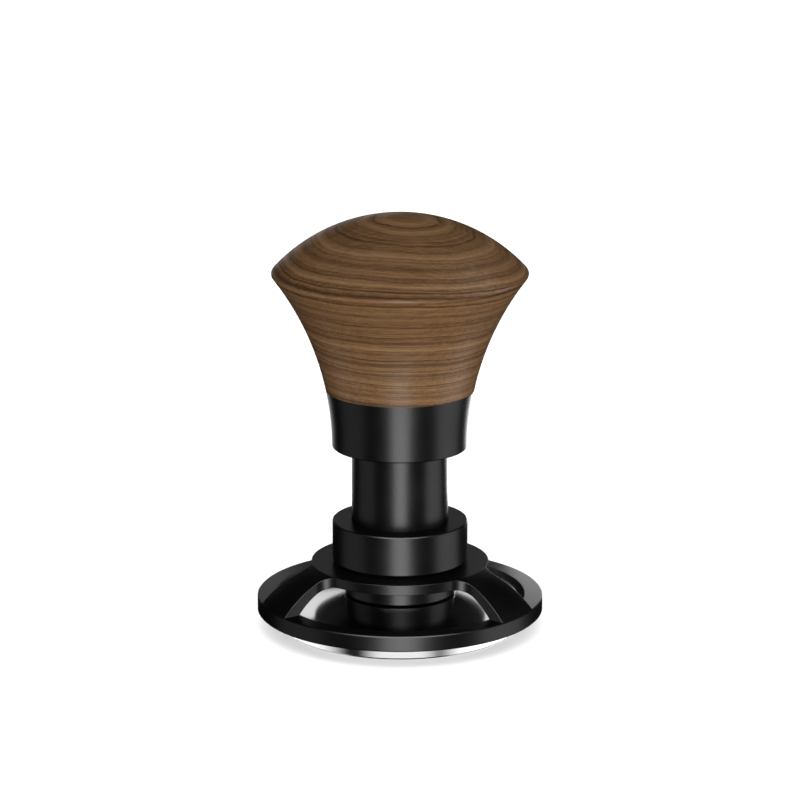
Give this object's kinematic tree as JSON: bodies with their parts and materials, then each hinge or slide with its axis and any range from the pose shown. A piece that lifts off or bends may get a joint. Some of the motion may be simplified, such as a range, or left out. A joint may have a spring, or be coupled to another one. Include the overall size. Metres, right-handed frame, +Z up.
{
  "type": "espresso tamper",
  "caption": "Self-levelling spring-loaded espresso tamper: flared wood knob, black stem and collar, spoked levelling ring and a polished steel base.",
  "frame": {"origin": "centre of the tamping face, on the surface that the tamper stands on", "axes": "+Z up the shaft towards the domed knob; one window of the levelling ring faces -Y"},
  "size_m": [0.0702, 0.0702, 0.1026],
  "materials": {
    "mirror_steel": "mirror polished stainless steel",
    "black_anodised": "fine bead-blasted black anodising, satin",
    "walnut": "oiled dark walnut, satin",
    "turned_steel": "turned stainless steel",
    "plain_aluminium": "turned aluminium",
    "spring_steel": "drawn spring wire",
    "bronze": "sintered bronze",
    "acetal": "natural acetal, matt",
    "rubber": "black nitrile rubber"
  },
  "bodies": {
    "base": {"tamp_base": "mirror_steel", "rest_o_ring": "rubber", "lock_washer": "spring_steel", "tamp_shaft": "turned_steel", "piston_ring": "acetal", "tie_bolt": "turned_steel", "stop_washer": "acetal", "main_spring": "spring_steel", "return_spring": "spring_steel"},
    "leveller_carrier": {"return_washer": "turned_steel"},
    "leveller": {"levelling_ring": "black_anodised", "guide_sleeve": "black_anodised", "clamp_collar": "black_anodised", "sleeve_bush": "bronze"},
    "handle_carrier": {"main_washer": "turned_steel"},
    "handle": {"handle_skirt": "black_anodised", "skirt_bush": "acetal", "handle_core": "plain_aluminium", "wood_insert": "plain_aluminium", "wood_handle": "walnut"}
  },
  "joints": [
    {"name": "leveller_slide", "type": "slide", "parent": "base", "child": "leveller_carrier", "axis": [0, 0, 1], "range_m": [0, 0.0124], "stiffness_N_per_m": 800, "springref_m": -0.01, "deforming": ["return_spring"]},
    {"name": "leveller_spin", "type": "hinge", "parent": "leveller_carrier", "child": "leveller", "pos_m": [0, 0, 0.02], "axis": [0, 0, 1], "continuous": true},
    {"name": "handle_press", "type": "slide", "parent": "base", "child": "handle_carrier", "axis": [0, 0, -1], "range_m": [0, 0.0058], "stiffness_N_per_m": 3800, "springref_m": -0.029, "deforming": ["main_spring"]},
    {"name": "handle_spin", "type": "hinge", "parent": "handle_carrier", "child": "handle", "pos_m": [0, 0, 0.08], "axis": [0, 0, 1], "continuous": true}
  ]
}
